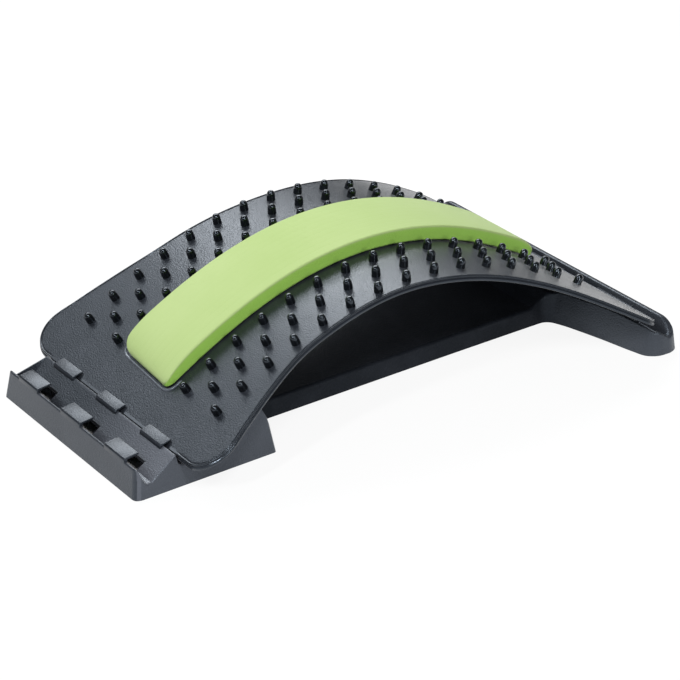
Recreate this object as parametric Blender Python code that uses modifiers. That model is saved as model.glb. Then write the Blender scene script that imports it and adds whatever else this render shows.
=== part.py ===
"""Lumbar back stretcher: a nubbed arch plate with a foam strip, standing in the notches of a low base.

Metres, +Z up. The origin is the middle of the footprint, +X points to the wide end and +Y to the far side.
"""

import math

import bmesh
import bpy
from mathutils import Matrix, Vector

OBJECT_NAME = "lumbar_back_stretcher"
GAP = 0.0003

# Arch: its bend is strongest at the crown and fades out at BEND_REACH along the arc on both sides.
CROWN_X = 0.0104
CROWN_Z = 0.0834
CROWN_RADIUS = 0.2018
BEND_REACH = 0.160

# Plate plan: x, half width between the two corner arcs.
PLATE_PLAN = [
    (-0.1430, 0.1020),
    (-0.1270, 0.0972),
    (-0.1050, 0.0902),
    (-0.0800, 0.0838),
    (-0.0500, 0.0815),
    (0.0050, 0.0811),
    (0.0400, 0.0854),
    (0.0750, 0.0925),
    (0.1100, 0.1022),
    (0.1450, 0.1163),
    (0.1640, 0.1227),
]
PLATE_LEFT = -0.1612
PLATE_RIGHT = 0.1765
LEFT_CORNER = 0.0230
RIGHT_CORNER = 0.0125
PLATE_WALL = 0.0028
RIM_DEPTH = 0.0036
RIM_TILT = 0.35
PLATE_STEP = 0.0105
CORNER_STEPS = 6

# Nubs: full rows of NUB_COUNT, with a staggered row of one less between them. NUB_MIDDLE is the arc
# length from the crown to the middle of every row.
NUB_COUNT = 15
NUB_PITCH = 0.02106
NUB_MIDDLE = -0.0036
FULL_ROWS = (-0.0726, -0.0390, 0.0390, 0.0726)
STAGGERED_ROWS = (-0.0560, 0.0560)
NUB_RADIUS = 0.0028
NUB_HEIGHT = 0.0065
NUB_DOME = 0.0021
NUB_SIDES = 8
NUB_ROOT = 0.0012

# Foam strip and the adhesive film under it.
FOAM_HALF = 0.0275
FOAM_THICK = 0.0094
FOAM_LEFT = -0.1350
FOAM_RIGHT = 0.1462
FOAM_ROLL = 0.0180
FOAM_CORNER = 0.0070
FOAM_STATIONS = 30
FILM_THICK = 0.0004
FILM_HALF = 0.0250
FILM_INSET = 0.0050
LIP_OFFSET = 0.0026
LIP_RADIUS = 0.0011
LIP_RETURN = 0.0120

# Base
BASE_END = 0.1924
BLOCK_HALF = 0.0784
BLOCK_INNER = -0.0932
BEAM_HALF = 0.0420
BEAM_WIDE = 0.0431
BASE_HALF = 0.1240
DECK_Z = 0.0120
WALL_DRAFT = 0.15
BASE_WALL = 0.0028
DRAFT_HEIGHT = 0.0450
DRAFT_BELOW = 0.0120
CORNER_RADIUS = 0.0045
FAR_CORNER_SHARE = 0.35
PROFILE_HALF = 0.1300
OVERCUT = 0.0050
RIB = 0.0030
KEEL = 0.0060
RIGHT_POCKET_STARTS = (0.1530, 0.1650, 0.1710)

# Height notches: the bottom of each V and the ridge that follows it.
NOTCHES = [(-0.1828, 0.0086), (-0.1592, 0.0132), (-0.1352, 0.0167)]
RIDGES = [(-0.1628, 0.0203), (-0.1388, 0.0241)]
LIP = (-0.1888, 0.0186)
CREST = (-0.1052, 0.0330)

# Web that closes the far end of the first notch: the x and z of its top edge, and its inner face.
WEB_TOP = [(-0.1872, 0.0131), (-0.1635, 0.0199)]
WEB_INNER = 0.0745

# Retaining tabs over each notch, with the mould opening below each. The outlines are x and z from the
# top of the lip or ridge.
TAB_LENGTH = 0.0230
TAB_PLACES = (-0.0510, 0.0, 0.0510)
LIP_TAB = [
    (0.0010, -0.0030),
    (-0.0007, -0.0030),
    (-0.0004, 0.0020),
    (0.0006, 0.0030),
    (0.0088, 0.0033),
    (0.0092, 0.0026),
    (0.0086, 0.0019),
    (0.0016, 0.0011),
]
RIDGE_TAB = [
    (0.0002, -0.0030),
    (-0.0027, -0.0026),
    (-0.0019, 0.0010),
    (-0.0009, 0.0016),
    (0.0052, 0.0028),
    (0.0055, 0.0022),
    (0.0052, 0.0016),
    (0.0008, 0.0005),
]
MOULD_HOLE = 0.0084
MOULD_EASE = 0.0020

# Channel and curb at the wide end.
CHANNEL_FLOOR = 0.0092
SHELF_Z = 0.0157
SHELF_START = 0.1660
SHELF_END = 0.1772
SHELF_HALF = 0.1000
CURB_FACE = 0.1852
CURB_TOP = 0.0203
LEDGE_TOP = 0.0174
LEDGE_THICK = 0.0014
LEDGE_REACH = 0.0028
LEDGE_LENGTH = 0.0350
LEDGE_PLACES = (-0.0680, 0.0, 0.0680)

# Material name: colour, roughness, metallic.
MATERIALS = {
    "black_abs": ((0.028, 0.029, 0.031, 1.0), 0.48, 0.0),
    "arch_abs": ((0.032, 0.033, 0.036, 1.0), 0.42, 0.0),
    "green_foam": ((0.66, 0.78, 0.38, 1.0), 0.85, 0.0),
    "clear_adhesive": ((0.80, 0.80, 0.76, 1.0), 0.40, 0.0),
}


def clear_scene():
    for obj in list(bpy.data.objects):
        bpy.data.objects.remove(obj, do_unlink=True)


def new_collection(name):
    collection = bpy.data.collections.new(name)
    bpy.context.scene.collection.children.link(collection)
    return collection


def material(name):
    colour, roughness, metallic = MATERIALS[name]
    made = bpy.data.materials.new(name)
    made.use_nodes = True
    shader = made.node_tree.nodes["Principled BSDF"]
    shader.inputs["Base Color"].default_value = colour
    shader.inputs["Roughness"].default_value = roughness
    shader.inputs["Metallic"].default_value = metallic
    made.diffuse_color = colour
    return made


def object_from(bm, name, collection):
    """The bmesh as an object with its faces pointing out."""
    bmesh.ops.recalc_face_normals(bm, faces=bm.faces)
    mesh = bpy.data.meshes.new(name)
    bm.to_mesh(mesh)
    bm.free()
    obj = bpy.data.objects.new(name, mesh)
    collection.objects.link(obj)
    return obj


def as_cutter(obj):
    obj.hide_render = True
    obj.display_type = "WIRE"
    return obj


def boolean(obj, other, operation):
    """A Boolean on obj with everything in the other object or collection."""
    cut = obj.modifiers.new(operation.lower(), "BOOLEAN")
    cut.operation = operation
    cut.solver = "EXACT"
    if isinstance(other, bpy.types.Collection):
        cut.operand_type = "COLLECTION"
        cut.collection = other
    else:
        cut.object = other


def arch_slope(s):
    """How far the arch has turned down at arc length s from its crown."""
    t = max(-1.0, min(1.0, s / BEND_REACH))
    return BEND_REACH / CROWN_RADIUS * (t - t**3 / 3)


def arch_point(s, lift=0.0):
    """The x and z of the plate's upper face at arc length s, raised by lift along its normal."""
    steps = 40
    x, z = CROWN_X, CROWN_Z
    for i in range(steps):
        slope = arch_slope(s * (i + 0.5) / steps)
        x += math.cos(slope) * s / steps
        z -= math.sin(slope) * s / steps
    slope = arch_slope(s)
    return x + lift * math.sin(slope), z + lift * math.cos(slope)


def arc_at(x):
    """The arc length from the crown at which the upper face reaches x."""
    s = x - CROWN_X
    for _ in range(12):
        s += (x - arch_point(s)[0]) / math.cos(arch_slope(s))
    return s


def between_stations(x):
    """A smooth curve through PLATE_PLAN, with each station's slope taken from its neighbours."""
    plan = PLATE_PLAN
    i = max(n for n in range(len(plan) - 1) if n == 0 or plan[n][0] <= x)

    def slope(n):
        before, after = plan[max(n - 1, 0)], plan[min(n + 1, len(plan) - 1)]
        return 0.0 if n == 0 else (after[1] - before[1]) / (after[0] - before[0])

    (x0, w0), (x1, w1) = plan[i], plan[i + 1]
    span = x1 - x0
    t = (x - x0) / span
    return (
        w0 * (1 + 2 * t) * (1 - t) ** 2
        + w1 * t * t * (3 - 2 * t)
        + slope(i) * span * t * (1 - t) ** 2
        - slope(i + 1) * span * t * t * (1 - t)
    )


def quarter(reach, depth, drop):
    """What a quarter ellipse, reach long and drop deep, takes off the half width at that depth."""
    t = min(max(depth / reach, 0.0), 1.0)
    return drop * (1 - math.sqrt(1 - t * t))


def plate_half(x):
    left, right = PLATE_PLAN[0], PLATE_PLAN[-1]
    if x < left[0]:
        return left[1] - quarter(left[0] - PLATE_LEFT, left[0] - x, LEFT_CORNER)
    if x > right[0]:
        return right[1] - quarter(PLATE_RIGHT - right[0], x - right[0], RIGHT_CORNER)
    return between_stations(x)


def plate_stations():
    """The x of each column of the plate: close together round the corners, even between them."""
    left, right = PLATE_PLAN[0][0], PLATE_PLAN[-1][0]
    turns = [math.pi / 2 * i / CORNER_STEPS for i in range(CORNER_STEPS)]
    first = [left - (left - PLATE_LEFT) * math.cos(turn) for turn in turns]
    last = [right + (PLATE_RIGHT - right) * math.cos(turn) for turn in reversed(turns)]
    count = round((right - left) / PLATE_STEP)
    middle = [left + (right - left) * i / count for i in range(count + 1)]
    return first + middle + last


def add_shell(name, collection):
    """The plate's outer skin with its turned down rim, thickened inwards."""
    bm = bmesh.new()
    columns = []
    for x in plate_stations():
        s = arc_at(x)
        tilt = RIM_TILT * arch_slope(s)
        z = arch_point(s)[1]
        foot_x = x - RIM_DEPTH * math.sin(tilt)
        foot_z = z - RIM_DEPTH * math.cos(tilt)
        half = plate_half(x)
        row = [(foot_x, -half, foot_z), (x, -half, z), (x, half, z), (foot_x, half, foot_z)]
        columns.append([bm.verts.new(point) for point in row])
    for near, far in zip(columns, columns[1:]):
        for i in range(3):
            bm.faces.new((near[i], far[i], far[i + 1], near[i + 1]))
    bm.faces.new(columns[0])
    bm.faces.new(columns[-1])
    shell = object_from(bm, name, collection)
    thick = shell.modifiers.new("wall", "SOLIDIFY")
    thick.thickness = PLATE_WALL
    thick.offset = -1.0
    thick.use_even_offset = True
    return shell


def nub_places():
    for y in FULL_ROWS:
        for i in range(NUB_COUNT):
            yield NUB_MIDDLE + (i - (NUB_COUNT - 1) / 2) * NUB_PITCH, y
    for y in STAGGERED_ROWS:
        for i in range(NUB_COUNT - 1):
            yield NUB_MIDDLE + (i - (NUB_COUNT - 2) / 2) * NUB_PITCH, y


def nub_mesh():
    """One nub: a short post with a domed top, its foot NUB_ROOT below the surface it stands on."""
    tall = NUB_HEIGHT + NUB_ROOT
    bm = bmesh.new()
    size = {"segments": NUB_SIDES, "radius1": NUB_RADIUS, "radius2": NUB_RADIUS, "depth": tall}
    bmesh.ops.create_cone(bm, cap_ends=True, **size)
    bmesh.ops.translate(bm, verts=bm.verts, vec=(0, 0, tall / 2 - NUB_ROOT))
    crown = [edge for edge in bm.edges if all(vert.co.z > 0 for vert in edge.verts)]
    bmesh.ops.bevel(bm, geom=crown, offset=NUB_DOME, segments=2, profile=0.5, affect="EDGES")
    mesh = bpy.data.meshes.new("nub")
    bm.to_mesh(mesh)
    bm.free()
    return mesh


def add_nubs(collection):
    """Every nub, rooted in the plate's wall and square to it."""
    nub = nub_mesh()
    bm = bmesh.new()
    for s, y in nub_places():
        first = len(bm.verts)
        bm.from_mesh(nub)
        bm.verts.ensure_lookup_table()
        x, z = arch_point(s)
        place = Matrix.Translation((x, y, z)) @ Matrix.Rotation(arch_slope(s), 4, "Y")
        bmesh.ops.transform(bm, matrix=place, verts=bm.verts[first:])
    bpy.data.meshes.remove(nub)
    return as_cutter(object_from(bm, "nub_posts", collection))


def add_foam_lip(name, end_x, inward, collection):
    """The low U-shaped bead on the plate round one end of the foam. inward is 1 or -1, towards the crown."""
    route = bpy.data.curves.new(name, "CURVE")
    route.dimensions = "3D"
    route.bevel_depth = LIP_RADIUS
    route.bevel_resolution = 1
    route.use_fill_caps = True
    spline = route.splines.new("POLY")
    reach = FOAM_CORNER + LIP_OFFSET
    side = FOAM_HALF + LIP_OFFSET
    turns = [math.pi / 2 * i / 4 for i in range(5)]
    bend = [(reach * (1 - math.sin(turn)), side - reach * (1 - math.cos(turn))) for turn in turns]
    half = [(LIP_RETURN, side), *bend]
    points = half + [(depth, -y) for depth, y in reversed(half)]
    spline.points.add(len(points) - 1)
    outer = end_x - inward * LIP_OFFSET
    for point, (depth, y) in zip(spline.points, points):
        x, z = arch_point(arc_at(outer + inward * depth))
        point.co = (x, y, z, 1.0)
    tube = bpy.data.objects.new(name + "_route", route)
    collection.objects.link(tube)
    graph = bpy.context.evaluated_depsgraph_get()
    mesh = bpy.data.meshes.new_from_object(tube.evaluated_get(graph))
    bm = bmesh.new()
    bm.from_mesh(mesh)
    bmesh.ops.remove_doubles(bm, verts=bm.verts, dist=0.00001)
    bpy.data.objects.remove(tube, do_unlink=True)
    return as_cutter(object_from(bm, name, collection))


def foam_stations():
    """Arc lengths along the strip, closer together where its ends roll over."""
    start, end = arc_at(FOAM_LEFT), arc_at(FOAM_RIGHT)
    for i in range(FOAM_STATIONS + 1):
        t = i / FOAM_STATIONS
        yield start + (end - start) * (t - 0.75 * math.sin(2 * math.pi * t) / (2 * math.pi)), start, end


def add_foam(collection):
    """The strip: square below, rounded over its long edges, and rolled down at both ends."""
    bm = bmesh.new()
    bottom = 2 * GAP + FILM_THICK
    rings = []
    for s, start, end in foam_stations():
        depth = min(s - start, end - s)
        roll = quarter(FOAM_ROLL, FOAM_ROLL - depth, 0.8) if depth < FOAM_ROLL else 0.0
        thick = FOAM_THICK * (1 - roll)
        corner = quarter(FOAM_CORNER, FOAM_CORNER - depth, FOAM_CORNER) if depth < FOAM_CORNER else 0.0
        half = FOAM_HALF - corner
        section = [(half, 0), (half - 0.0003, 0.70), (half - 0.0008, 0.92), (half - 0.0018, 1)]
        section += [(-y, up) for y, up in reversed(section)]
        ring = []
        for y, up in section:
            x, z = arch_point(s, bottom + thick * up)
            ring.append(bm.verts.new((x, y, z)))
        rings.append(ring)
    for near, far in zip(rings, rings[1:]):
        for i in range(len(near)):
            j = (i + 1) % len(near)
            bm.faces.new((near[i], near[j], far[j], far[i]))
    bm.faces.new(rings[0])
    bm.faces.new(rings[-1])
    return object_from(bm, "foam_strip", collection)


def add_film(collection):
    """The adhesive film between foam and plate."""
    bm = bmesh.new()
    start, end = arc_at(FOAM_LEFT), arc_at(FOAM_RIGHT)
    half = FILM_HALF
    rings = []
    for i in range(FOAM_STATIONS + 1):
        s = start + FILM_INSET + (end - start - 2 * FILM_INSET) * i / FOAM_STATIONS
        ring = []
        for y, lift in ((-half, GAP), (half, GAP), (half, GAP + FILM_THICK), (-half, GAP + FILM_THICK)):
            x, z = arch_point(s, lift)
            ring.append(bm.verts.new((x, y, z)))
        rings.append(ring)
    for near, far in zip(rings, rings[1:]):
        for i in range(4):
            j = (i + 1) % 4
            bm.faces.new((near[i], near[j], far[j], far[i]))
    bm.faces.new(rings[0])
    bm.faces.new(rings[-1])
    return object_from(bm, "foam_adhesive_film", collection)


def add_arch_plate(parts, cutters):
    plate = add_shell("arch_plate", parts)
    boolean(plate, add_nubs(cutters), "UNION")
    for name, end_x, inward in (("left_foam_lip", FOAM_LEFT, 1), ("right_foam_lip", FOAM_RIGHT, -1)):
        boolean(plate, add_foam_lip(name, end_x, inward, cutters), "UNION")
    return plate


def extruded(name, outline, y0, y1, collection):
    """A side outline of x and z points carried along Y."""
    bm = bmesh.new()
    face = bm.faces.new([bm.verts.new((x, y0, z)) for x, z in outline])
    top = bmesh.ops.extrude_face_region(bm, geom=[face])["geom"]
    moved = [item for item in top if isinstance(item, bmesh.types.BMVert)]
    bmesh.ops.translate(bm, verts=moved, vec=(0, y1 - y0, 0))
    return object_from(bm, name, collection)


def notch(bottom, ridge):
    """One V with its rounded bottom, then the ramp up to the next ridge."""
    x, z = bottom
    curve = [(x - 0.0019, z + 0.0008), bottom, (x + 0.0022, z + 0.0003)]
    return [*curve, (ridge[0] - 0.0008, ridge[1] - 0.0003), ridge]


def left_profile():
    """The notched top of the left block, from its outer foot to the deck."""
    outer = [(-BASE_END - OVERCUT, 0.0), (-BASE_END - OVERCUT, 0.0140), (-0.1899, 0.0178), LIP]
    lip_inside = [(-0.1878, 0.0180), (-0.1874, 0.0163), (-0.1858, 0.0119)]
    points = outer + lip_inside + notch(NOTCHES[0], RIDGES[0])
    for (x, z), bottom, following in zip(RIDGES, NOTCHES[1:], [RIDGES[1], (-0.1075, 0.0325)]):
        points += [(x + 0.0005, z - 0.0004), (x + 0.0007, z - 0.0048)]
        points += [(bottom[0] - 0.0022, bottom[1] + 0.0013), *notch(bottom, following)]
    inner_wall = [CREST, (-0.1040, 0.0324), (-0.1022, 0.0285), (-0.0995, 0.0230), (-0.0965, 0.0170)]
    return points + inner_wall + [(-0.0948, DECK_Z)]


def right_profile():
    """From the deck up to the wide end, over its channel and curb, to the outer foot."""
    rise = [(0.1495, DECK_Z), (0.1570, 0.0150), (0.1665, 0.0152), (0.1690, 0.0148), (0.1730, 0.0115)]
    channel = [(0.1755, 0.0096), (0.1772, CHANNEL_FLOOR), (0.1836, CHANNEL_FLOOR), (0.1848, 0.0104)]
    curb = [(CURB_FACE, 0.0190), (0.1858, 0.0201), (0.1868, CURB_TOP), (0.1880, 0.0200), (0.1891, 0.0189)]
    return rise + channel + curb + [(BASE_END + OVERCUT, 0.0100), (BASE_END + OVERCUT, 0.0)]


def half_plan():
    """The base's outline on the floor for y above zero, left to right, with its corners square."""
    block = [(-BASE_END, BLOCK_HALF), (BLOCK_INNER, BLOCK_HALF), (BLOCK_INNER, BEAM_HALF)]
    beam = [(0.0670, BEAM_HALF + 0.0002), (0.1070, BEAM_HALF + 0.0007), (0.1495, BEAM_WIDE)]
    flare = [(0.1535, 0.0571), (0.1572, 0.0697), (0.1605, 0.0821), (0.1636, 0.0981), (0.1659, 0.1121)]
    return block + beam + flare + [(0.1679, BASE_HALF), (0.1783, BASE_HALF), (BASE_END, 0.1212)]


def drafted_plan(name, collection):
    """The plan as a tall solid whose walls lean in by WALL_DRAFT and whose upright corners are rounded."""
    half = half_plan()
    outline = half + [(x, -y) for x, y in reversed(half)]
    bm = bmesh.new()
    weight = bm.edges.layers.float.new("bevel_weight_edge")
    rings = [[], []]
    for i, (x, y) in enumerate(outline):
        (x0, y0), (x1, y1) = outline[i - 1], outline[(i + 1) % len(outline)]
        behind = math.atan2(y - y0, x - x0)
        turn = math.remainder(math.atan2(y1 - y, x1 - x) - behind, 2 * math.pi)
        inward = behind + turn / 2 - math.pi / 2
        for ring, z in zip(rings, (-DRAFT_BELOW, DRAFT_HEIGHT)):
            shift = WALL_DRAFT * z / math.cos(turn / 2)
            ring.append(bm.verts.new((x + shift * math.cos(inward), y + shift * math.sin(inward), z)))
    below, above = rings
    bm.faces.new(below)
    bm.faces.new(above)
    for i in range(len(below)):
        bm.faces.new((below[i - 1], below[i], above[i], above[i - 1]))
    for i, (low, high) in enumerate(zip(below, above)):
        side, following = (Vector(outline[j]) - Vector(outline[j - 1]) for j in (i, (i + 1) % len(outline)))
        if abs(side.angle_signed(following)) > math.radians(30):
            bm.edges.get((low, high))[weight] = FAR_CORNER_SHARE if i == 0 else 1.0
    plan = as_cutter(object_from(bm, name, collection))
    corners = plan.modifiers.new("corners", "BEVEL")
    corners.width = CORNER_RADIUS
    corners.segments = 3
    corners.limit_method = "WEIGHT"
    return plan


def box(name, x, y, z, collection):
    """A block between the two values given for each axis."""
    bm = bmesh.new()
    middle = [(low + high) / 2 for low, high in (x, y, z)]
    sides = [high - low for low, high in (x, y, z)]
    bmesh.ops.create_cube(bm, size=1.0, matrix=Matrix.Translation(middle) @ Matrix.Diagonal((*sides, 1.0)))
    return as_cutter(object_from(bm, name, collection))


def between_ribs(start, end, count, rib):
    """The stretches left between start and end by ribs of one thickness."""
    width = (end - start - rib * (count - 1)) / count
    return [(start + i * (width + rib), start + i * (width + rib) + width) for i in range(count)]


def left_pocket():
    """The side outline of the hollow under the left block, a wall's thickness inside its notches."""
    points = [(-0.1880, -OVERCUT), (-0.1872, NOTCHES[0][1] - BASE_WALL)]
    followers = [*NOTCHES[1:], None]
    for (x, z), ridge, following in zip(NOTCHES, [*RIDGES, CREST], followers):
        if z > NOTCHES[0][1]:
            points.append((x - 0.0050, z - BASE_WALL))
        points.append((x + 0.0026, z - BASE_WALL))
        points.append((ridge[0] - 0.0034, ridge[1] - 0.0052))
        if following:
            points.append((ridge[0] - 0.0018, ridge[1] - 0.0056))
    return points + [(-0.1060, 0.0290), (-0.0975, 0.0120), (-0.0965, -OVERCUT)]


def add_pockets(collection):
    """The hollows under the base, open at the floor, with ribs and a keel between them."""
    for i, (y0, y1) in enumerate(between_ribs(-0.0722, 0.0722, 3, RIB)):
        as_cutter(extruded(f"left_pocket_{i}", left_pocket(), y0, y1, collection))
    for side in (-1, 1):
        for i, x in enumerate(between_ribs(-0.0900, 0.1470, 7, RIB)):
            y = sorted((side * KEEL / 2, side * (BEAM_HALF - 0.0048)))
            name = f"beam_pocket_{'near' if side < 0 else 'far'}_{i}"
            box(name, x, y, (-OVERCUT, DECK_Z - BASE_WALL), collection)
        for i, (y0, y1) in enumerate(between_ribs(KEEL / 2, 0.1130, 3, RIB)):
            start = RIGHT_POCKET_STARTS[i]
            roof = [(0.1725, 0.0079), (0.1748, 0.0064), (0.1866, 0.0064), (0.1872, -OVERCUT)]
            if start < 0.1680:
                outline = [(start, -OVERCUT), (start, 0.0120), (0.1680, 0.0120), *roof]
            else:
                outline = [(start, -OVERCUT), (start, 0.0092), *roof]
            name = f"right_pocket_{'near' if side < 0 else 'far'}_{i}"
            as_cutter(extruded(name, outline, side * y0, side * y1, collection))


def tab_outline(row):
    """A retaining tab seen from the side: a root in the lip or ridge and a thin tongue over the notch."""
    x, z = LIP if row == 0 else RIDGES[row - 1]
    return [(x + across, z + up) for across, up in (LIP_TAB if row == 0 else RIDGE_TAB)]


def add_tabs(collection):
    for row in range(len(NOTCHES)):
        for i, y in enumerate(TAB_PLACES):
            name = f"tab_{row}_{i}"
            as_cutter(extruded(name, tab_outline(row), y - TAB_LENGTH / 2, y + TAB_LENGTH / 2, collection))


def add_mould_holes(collection):
    """The openings that a mould needs to form the underside of each tab."""
    for row, (x, z) in enumerate(NOTCHES):
        for i, y in enumerate(TAB_PLACES):
            reach = TAB_LENGTH / 2 - MOULD_EASE
            span = (x + 0.0004, x + MOULD_HOLE)
            side = (y - reach, y + reach)
            box(f"mould_hole_{row}_{i}", span, side, (z - 0.0040, z + 0.0060), collection)


def add_channel_parts(collection):
    """The shelf under the plate's wide end and the three ledges on the curb."""
    box("plate_shelf", (SHELF_START, SHELF_END), (-SHELF_HALF, SHELF_HALF), (0.0035, SHELF_Z), collection)
    for i, y in enumerate(LEDGE_PLACES):
        span = (y - LEDGE_LENGTH / 2, y + LEDGE_LENGTH / 2)
        reach = (CURB_FACE - LEDGE_REACH, CURB_FACE + 0.0010)
        box(f"curb_ledge_{i}", reach, span, (LEDGE_TOP - LEDGE_THICK, LEDGE_TOP), collection)


def sub_collection(name, parent):
    collection = bpy.data.collections.new(name)
    parent.children.link(collection)
    return collection


def add_base(parts, cutters):
    """One moulding: two blocks and the waist beam between them."""
    base = extruded("base_frame", left_profile() + right_profile(), -PROFILE_HALF, PROFILE_HALF, parts)
    web = [(WEB_TOP[0][0], NOTCHES[0][1] / 2), *WEB_TOP, (WEB_TOP[1][0], NOTCHES[0][1] / 2)]
    boolean(base, as_cutter(extruded("far_web", web, WEB_INNER, PROFILE_HALF - OVERCUT, cutters)), "UNION")
    boolean(base, drafted_plan("base_plan", cutters), "INTERSECT")
    added = sub_collection("base_additions", cutters)
    add_tabs(added)
    add_channel_parts(added)
    boolean(base, added, "UNION")
    hollows = sub_collection("base_hollows", cutters)
    add_pockets(hollows)
    add_mould_holes(hollows)
    boolean(base, hollows, "DIFFERENCE")
    return base


def finish(obj, name):
    """The material, and smooth shading up to a moderate edge angle."""
    obj.data.materials.append(material(name))
    obj.data.shade_smooth()
    obj.data.set_sharp_from_angle(angle=math.radians(35))


def carry(empty, children):
    """Parent the moving pieces to the empty on their slide, and keep them where they are."""
    for child in children:
        child.parent = empty
        child.location = -empty.location


def main():
    clear_scene()
    parts = new_collection(OBJECT_NAME)
    cutters = new_collection("cutters")
    base = add_base(parts, cutters)
    plate = add_arch_plate(parts, cutters)
    film = add_film(parts)
    foam = add_foam(parts)
    finish(base, "black_abs")
    finish(plate, "arch_abs")
    finish(film, "clear_adhesive")
    finish(foam, "green_foam")
    slide = bpy.data.objects.new("arch_slide", None)
    slide.location = (PLATE_LEFT, 0.0, NOTCHES[1][1])
    parts.objects.link(slide)
    carry(slide, (plate, film, foam))


main()
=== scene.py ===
import math
import bpy
import numpy as np
from mathutils import Matrix, Vector


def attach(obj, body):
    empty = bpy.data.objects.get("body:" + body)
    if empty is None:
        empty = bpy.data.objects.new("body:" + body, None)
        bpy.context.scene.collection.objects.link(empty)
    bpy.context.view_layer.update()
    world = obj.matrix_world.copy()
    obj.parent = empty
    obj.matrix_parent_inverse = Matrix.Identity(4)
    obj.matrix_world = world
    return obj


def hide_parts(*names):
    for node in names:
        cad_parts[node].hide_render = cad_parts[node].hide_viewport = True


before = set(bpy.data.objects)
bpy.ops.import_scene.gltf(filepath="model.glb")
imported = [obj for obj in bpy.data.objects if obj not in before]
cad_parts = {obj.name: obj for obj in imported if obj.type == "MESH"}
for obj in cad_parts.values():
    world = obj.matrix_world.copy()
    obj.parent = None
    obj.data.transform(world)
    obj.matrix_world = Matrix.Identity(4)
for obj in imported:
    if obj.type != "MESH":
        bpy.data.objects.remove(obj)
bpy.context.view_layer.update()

scene = bpy.context.scene

# The photograph's camera: its place in metres, its aim as a direction, lens and sensor in millimetres
view = {
    "place": (-0.76905, -1.07564, 0.71148),
    "aim": (0.5186, 0.7163, -0.4670),
    "lens": 123.5,
    "sensor": 36.0,
}

# The arch's face: where its crown is, how tight it bends there, and where it runs out straight
arch = {
    "crownX": 0.0104,
    "crownZ": 0.0834,
    "crownRadius": 0.2018,
    "bendReach": 0.160,
}


def makeMesh(name, points, quads, bands=None):
    # an object at the origin from an (n, 3) array of points and an (m, 4) array of corner numbers
    # bands is one value for each point, kept as the attribute "band" for the materials
    mesh = bpy.data.meshes.new(name)
    mesh.vertices.add(len(points))
    mesh.vertices.foreach_set("co", np.ascontiguousarray(points, np.float32).ravel())
    mesh.loops.add(quads.size)
    mesh.loops.foreach_set("vertex_index", np.ascontiguousarray(quads, np.int32).ravel())
    mesh.polygons.add(len(quads))
    mesh.polygons.foreach_set("loop_start", np.arange(0, quads.size, 4, dtype=np.int32))
    mesh.update(calc_edges=True)
    mesh.shade_smooth()
    if bands is not None:
        layer = mesh.attributes.new("band", "FLOAT", "POINT")
        layer.data.foreach_set("value", np.ascontiguousarray(bands, np.float32))
    made = bpy.data.objects.new(name, mesh)
    scene.collection.objects.link(made)
    return made


def gridQuads(rows, columns, start=0, closed=False):
    # corner numbers of a rows by columns grid; closed joins the last column to the first
    r = np.arange(rows - 1)[:, None]
    c = np.arange(columns if closed else columns - 1)[None, :]
    after = (c + 1) % columns
    corners = (r * columns + c, r * columns + after, (r + 1) * columns + after, (r + 1) * columns + c)
    return start + np.stack(np.broadcast_arrays(*corners), -1).reshape(-1, 4)


def grooveLine(position, width):
    # a smooth dip that is 1 at 0 and fades out over width
    return np.exp(-((position / width) ** 2))


archS = np.linspace(-0.21, 0.21, 4201)  # arc length from the crown


def slopeAt(s):
    # the bend is 1 / crownRadius at the crown and falls as 1 - t squared, so the slope is t - t cubed / 3
    t = np.clip(s / arch["bendReach"], -1.0, 1.0)
    return arch["bendReach"] / arch["crownRadius"] * (t - t**3 / 3)


def runningSum(values):
    # trapezoid sum along archS, zero at the crown
    steps = np.concatenate([[0.0], np.cumsum((values[1:] + values[:-1]) / 2 * np.diff(archS))])
    return steps - steps[len(archS) // 2]


archX = arch["crownX"] + runningSum(np.cos(slopeAt(archS)))
archZ = arch["crownZ"] - runningSum(np.sin(slopeAt(archS)))


def archAt(x):
    # arc length from the crown at x
    return np.interp(x, archX, archS)


def onArch(s, y, lift, tiltShare=1.0):
    # arc length and y on the arch's face, moved by lift along the face's normal, or along a direction
    # that leans only tiltShare as far as the normal does
    lean = slopeAt(s) * tiltShare
    x = np.interp(s, archS, archX) + lift * np.sin(lean)
    z = np.interp(s, archS, archZ) + lift * np.cos(lean)
    return np.stack(np.broadcast_arrays(x, y, z), -1)


def hermite(x, knots):
    # a smooth curve through the knots, each knot's slope taken from its two neighbours, level at the first
    kx, kv = np.array(knots).T
    slope = np.gradient(kv, kx)
    slope[0] = 0.0
    i = np.clip(np.searchsorted(kx, x, "right") - 1, 0, len(kx) - 2)
    span = kx[i + 1] - kx[i]
    t = (x - kx[i]) / span
    return (
        kv[i] * (1 + 2 * t) * (1 - t) ** 2
        + kv[i + 1] * t * t * (3 - 2 * t)
        + slope[i] * span * t * (1 - t) ** 2
        - slope[i + 1] * span * t * t * (1 - t)
    )


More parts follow.
